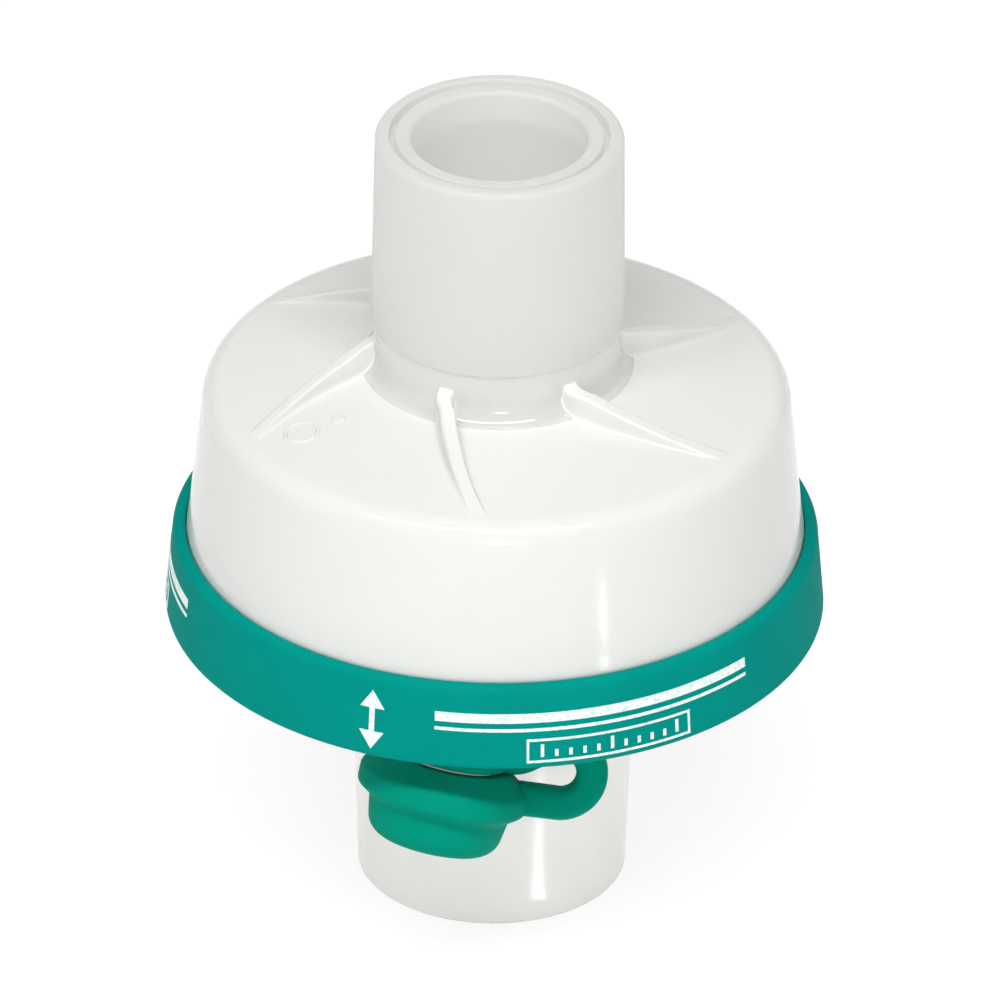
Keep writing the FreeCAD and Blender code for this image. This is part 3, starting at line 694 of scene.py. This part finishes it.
# closed slab on the ring's outer wall between two curves, low and high, by length along it
def printSlab(length, low, high, turn):
    slope = (softRing["lowRadius"] - softRing["topRadius"]) / (softRing["top"] - softRing["bottom"])
    thickness = ringPrint["thickness"]
    heights = np.stack([high, high, low, low], axis=1)
    depth = np.array([thickness, -thickness, -thickness, thickness])
    reach = softRing["lowRadius"] - slope * heights + depth
    angle = (length / softRing["lowRadius"] - math.pi / 2 + turn)[:, None]
    points = np.stack([reach * np.cos(angle), reach * np.sin(angle),
                       softRing["bottom"] + heights], axis=-1)
    return gridPatch(points, firstPole=points[0].mean(axis=0), lastPole=points[-1].mean(axis=0))


def buildRingPrint(shape):
    slabs = []
    arrow, box = shape["arrow"], shape["box"]
    # the arrow's upper edge by distance from its middle line, mirrored for its lower edge
    half, thinEdge = arrow["head"] / 2, shape["thinEdge"]
    away = np.array([-half, -arrow["shaft"] / 2 - thinEdge, -arrow["shaft"] / 2, 0,
                     arrow["shaft"] / 2, arrow["shaft"] / 2 + thinEdge, half])
    tip = arrow["high"] - arrow["headHeight"] * np.abs(away) / half
    neck = np.full_like(away, arrow["high"] - arrow["headHeight"] - thinEdge)
    centre = (arrow["high"] + arrow["low"]) / 2
    patches = [(arrow["at"] + away, neck, tip),
               (arrow["at"] + away, 2 * centre - tip, 2 * centre - neck)]
    shaft = arrow["at"] + np.linspace(-0.5, 0.5, 3) * arrow["shaft"]
    patches.append((shaft, np.full(3, 2 * centre - neck[0]), np.full(3, neck[0])))
    for left, right, low, high in shape["stripes"]:
        run = np.linspace(left, right, 40)
        patches.append((run, np.full(40, low), np.full(40, high)))
    line = box["line"]
    run = np.linspace(box["left"], box["right"], 24)
    for low in (box["low"], box["high"] - line):
        patches.append((run, np.full(24, low), np.full(24, low + line)))
    ends = np.full(3, box["low"] + line), np.full(3, box["high"] - line)
    for left in (box["left"], box["right"] - line):
        patches.append((left + np.linspace(0, line, 3), *ends))
    spots = np.linspace(box["left"] + shape["tickMargin"], box["right"] - shape["tickMargin"],
                        shape["ticks"])
    for place, spot in enumerate(spots):
        long = place % shape["longEvery"] == 0
        top = box["high"] - (shape["tickGap"] if long else shape["shortTickGap"])
        run = spot + np.linspace(-0.5, 0.5, 3) * shape["tickWidth"]
        patches.append((run, np.full(3, box["low"] + shape["tickGap"]), np.full(3, top)))
    for turn in np.arange(shape["copies"]) * 2 * math.pi / shape["copies"]:
        slabs += [printSlab(length, low, high, turn) for length, low, high in patches]
    return meshObject("ringPrint", slabs, [padPrint()], sharp=30)


inkMarks = buildRingPrint(ringPrint)
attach(inkMarks, "housing")
print("ring and its marks", len(inkMarks.data.polygons), "faces")


# frame of the sampling port: its root, the strap's direction, across it, and its axis
swivel = next(joint for joint in frame["joints"] if joint["name"] == "tether_swivel")
portRoot = np.array(swivel["pos_m"]) / mm
portAxis = np.array(swivel["axis"]) / np.linalg.norm(swivel["axis"])
portSide = np.array([1.0, 0, 0]) - portAxis * portAxis[0]
portSide /= np.linalg.norm(portSide)
portFrame = np.stack([portSide, np.cross(portAxis, portSide), portAxis])


def onPort(points):
    return portRoot + points @ portFrame


# cap of the sampling port: a blunt cup with a thick soft brim, a cuff above it that reaches
# to the tether's collar, and a plug inside
portCap = {
    "start": 3.64, "finish": 11.4, "bore": 4.2, "floor": 10.5, "body": 6.3, "end": 5.7,
    "cuff": 5.5, "brimTop": 5.2, "brim": 7.6, "brimEdge": 6.95, "slope": 0.9, "endRound": 2.0,
    "plugRoot": 1.75, "plugTip": 1.55, "plugLength": 4.0, "plugRound": 0.2,
    "bodyRound": 0.9, "brimRound": 0.7, "brimFootRound": 0.8, "edgeRound": 0.3,
}


# its profile, from the closed end down the outside and up the inside, around the port's axis
def buildCap(shape):
    edgeRound, plugEnd = shape["edgeRound"], shape["floor"] - shape["plugLength"]
    profile = softOutline([
        (0, shape["finish"]), (shape["end"], shape["finish"], shape["endRound"]),
        (shape["body"], shape["brimEdge"] + shape["slope"], shape["bodyRound"]),
        (shape["brim"], shape["brimEdge"], shape["brimRound"]),
        (shape["brim"], shape["brimTop"], shape["brimFootRound"]),
        (shape["cuff"], shape["start"], edgeRound), (shape["bore"], shape["start"], edgeRound),
        (shape["bore"], shape["floor"], edgeRound),
        (shape["plugRoot"], shape["floor"], shape["plugRound"]),
        (shape["plugTip"], plugEnd, edgeRound), (0, plugEnd),
    ], closed=False, steps=8)
    ends = onPort(np.array([[0, 0, shape["finish"]], [0, 0, plugEnd]]))
    points = onPort(lathe(profile[1:-1], 96))
    return meshObject("portCap", [gridPatch(points, firstPole=ends[0], lastPole=ends[1])],
                      [capRubber], sharp=60)


cap = buildCap(portCap)
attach(cap, "cap")
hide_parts("luer_cap")


# strap between the collar and the cap's brim, thicker towards the cap. "lead" is its straight
# start and end, and "lifts" how far it rises above the bend before and at the brim
capStrap = {
    "collar": 4.3, "collarLevel": 2.35, "bend": 9.8, "bendLevel": 2.6, "bendRadius": 2.8,
    "brim": 6.6, "thin": 1.3, "thick": 1.5, "width": 1.45, "softness": 3.0,
    "lead": 1.0, "lifts": (0.2, 0.3), "spanStart": (2.7, 0, 4.7), "spanEnd": (4.3, 0, 7.48),
}


# middle line in the port's side and axis: half a cosine wave up from the collar, half a
# circle, then level to the brim; its section is a rounded square set square to that line
def buildStrap(shape):
    run = np.linspace(0, 1, 40)
    start = shape["collar"] + shape["lead"]
    top = shape["bendLevel"] - shape["bendRadius"]
    wave = np.stack([start + (shape["bend"] - start) * run,
                     shape["collarLevel"] + (top - shape["collarLevel"])
                     * (1 - np.cos(run * math.pi)) / 2], axis=1)
    turn = np.linspace(-math.pi / 2, math.pi / 2, 40)[1:]
    circle = np.stack([shape["bend"] + shape["bendRadius"] * np.cos(turn),
                       shape["bendLevel"] + shape["bendRadius"] * np.sin(turn)], axis=1)
    level = circle[-1, 1] + np.array(shape["lifts"])
    line = evenly(np.vstack([[shape["collar"], shape["collarLevel"]], wave, circle,
                             [shape["brim"] + shape["lead"], level[0]],
                             [shape["brim"], level[1]]]), 90)
    forward = np.gradient(line, axis=0)
    forward /= np.linalg.norm(forward, axis=1)[:, None]
    square = np.stack([-forward[:, 1], forward[:, 0]], axis=1)
    around = np.linspace(0, 2 * math.pi, 32, endpoint=False)
    soft = 2 / shape["softness"]
    out = np.sign(np.cos(around)) * np.abs(np.cos(around)) ** soft
    across = np.sign(np.sin(around)) * np.abs(np.sin(around)) ** soft
    grow = np.linspace(0, 1, len(line))[:, None]
    half = shape["thin"] + (shape["thick"] - shape["thin"]) * grow
    local = np.stack([
        line[:, :1] + square[:, :1] * half * out,
        np.repeat(shape["width"] * across[None], len(line), axis=0),
        line[:, 1:] + square[:, 1:] * half * out,
    ], axis=-1)
    tips = onPort(np.array([[line[0, 0], 0, line[0, 1]], [line[-1, 0], 0, line[-1, 1]]]))
    return meshObject("capStrap", [gridPatch(onPort(local), firstPole=tips[0], lastPole=tips[1])],
                      [capRubber], sharp=80)


strap = buildStrap(capStrap)
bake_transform(strap)
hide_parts("tether_strap")
print("cap and strap made")


# 1 for rays from the camera, also by way of gloss and clear plastic, 0 for the light that falls
def straightSight(tree, seen):
    indirect = addNode(tree, "Math", {0: seen.outputs["Is Glossy Ray"],
                                      1: seen.outputs["Is Transmission Ray"]}, operation="MAXIMUM")
    return addNode(tree, "Math", {0: seen.outputs["Is Camera Ray"], 1: indirect.outputs[0]},
                   operation="MAXIMUM").outputs[0]


# white floor: what the camera sees is lifted to white and keeps the object's shadow
paperSweep = {"reach": 6.0, "plain": "#F2F2F2", "lifted": "#9A9A9A", "glow": 0.76}
reach = paperSweep["reach"]
floorMesh = bpy.data.meshes.new("floor")
floorMesh.from_pydata([(-reach, -reach, 0), (reach, -reach, 0), (reach, reach, 0),
                       (-reach, reach, 0)], [], [(0, 1, 2, 3)])
floor = bpy.data.objects.new("floor", floorMesh)
bpy.context.scene.collection.objects.link(floor)
material, tree = newMaterial("paperSweep")
seen = addNode(tree, "LightPath")
plain = addNode(tree, "BsdfDiffuse", {"Color": linear(paperSweep["plain"])})
lifted = addNode(tree, "BsdfDiffuse", {"Color": linear(paperSweep["lifted"])})
glow = addNode(tree, "Emission", {"Color": (1, 1, 1, 1), "Strength": paperSweep["glow"]})
both = addNode(tree, "AddShader", {0: lifted.outputs["BSDF"], 1: glow.outputs["Emission"]})
shown = addNode(tree, "MixShader", {0: straightSight(tree, seen), 1: plain.outputs["BSDF"],
                                    2: both.outputs["Shader"]})
finishMaterial(tree, shown.outputs["Shader"])
floorMesh.materials.append(material)

# the room: an even light, and what is seen of it is white, in gloss greyer on the camera's side
roomLight = {"even": 0.42, "bright": 0.7, "dark": 0.35, "direction": (0, -0.9, 0.44)}
world = bpy.data.worlds.new("studio")
bpy.context.scene.world = world
world.use_nodes = True
tree = world.node_tree
tree.nodes.clear()
seen = addNode(tree, "LightPath")
direction = addNode(tree, "TexCoord").outputs["Generated"]
towards = addNode(tree, "VectorMath", {0: direction, 1: roomLight["direction"]},
                  operation="DOT_PRODUCT")
shade = addNode(tree, "MapRange", {"Value": towards.outputs["Value"], "From Min": 0.0,
                                   "From Max": 0.8, "To Min": roomLight["bright"],
                                   "To Max": roomLight["dark"]}, interpolation_type="SMOOTHSTEP")
level = addNode(tree, "Math", {0: seen.outputs["Is Camera Ray"], 1: shade.outputs["Result"]},
                operation="MAXIMUM")
room = addNode(tree, "Background", {"Color": (1, 1, 1, 1), "Strength": roomLight["even"]})
paper = addNode(tree, "Background", {"Color": (1, 1, 1, 1), "Strength": level.outputs[0]})
mixed = addNode(tree, "MixShader", {0: straightSight(tree, seen), 1: room.outputs["Background"],
                                    2: paper.outputs["Background"]})
addNode(tree, "OutputWorld", {"Surface": mixed.outputs["Shader"]})


# area lamp aimed at a point of the object
def softLamp(name, place, aim, size, sizeY, power):
    data = bpy.data.lights.new(name, "AREA")
    data.shape, data.size, data.size_y, data.energy = "RECTANGLE", size, sizeY, power
    lamp = bpy.data.objects.new(name, data)
    bpy.context.scene.collection.objects.link(lamp)
    lamp.location = place
    lamp.rotation_euler = (Vector(aim) - Vector(place)).to_track_quat("-Z", "Y").to_euler()
    return lamp


# a long lamp above the front and a small one low at the front, in metres and watts
lamps = {
    "keyLamp": {"place": (-0.08, -0.65, 1.25), "aim": (0, 0, 0.04), "size": (1.4, 0.2), "power": 17.6},
    "fillLamp": {"place": (0.08, -1.2, 0.14), "aim": (0, 0, 0.02), "size": (0.3, 0.2), "power": 1.9},
}
for name, lamp in lamps.items():
    softLamp(name, lamp["place"], lamp["aim"], *lamp["size"], lamp["power"])

# narrow strips of light along the floor, seen only as upright lines of gloss on the walls
strips = {
    "portStrip": {"start": (4.1, -11.1), "from": 2.0, "to": 40.0, "width": 2.0, "power": 0.0016},
    "skirtStrip": {"start": (9.2, -25.4), "from": 106.0, "to": 139.0, "width": 2.5, "power": 0.006},
}
stripBearing = math.radians(40)
for name, strip in strips.items():
    length = (strip["to"] - strip["from"]) * mm
    middle = (strip["to"] + strip["from"]) / 2
    spot = np.array([strip["start"][0] + middle * math.sin(stripBearing),
                     strip["start"][1] - middle * math.cos(stripBearing), 1.0]) * mm
    stripLamp = softLamp(name, spot, spot, strip["width"] * mm, length, strip["power"])
    stripLamp.rotation_euler = (math.pi, 0, stripBearing)
    stripLamp.visible_camera = stripLamp.visible_diffuse = stripLamp.visible_transmission = False
print("floor and lights set")

bpy.context.scene.view_settings.view_transform = "Standard"
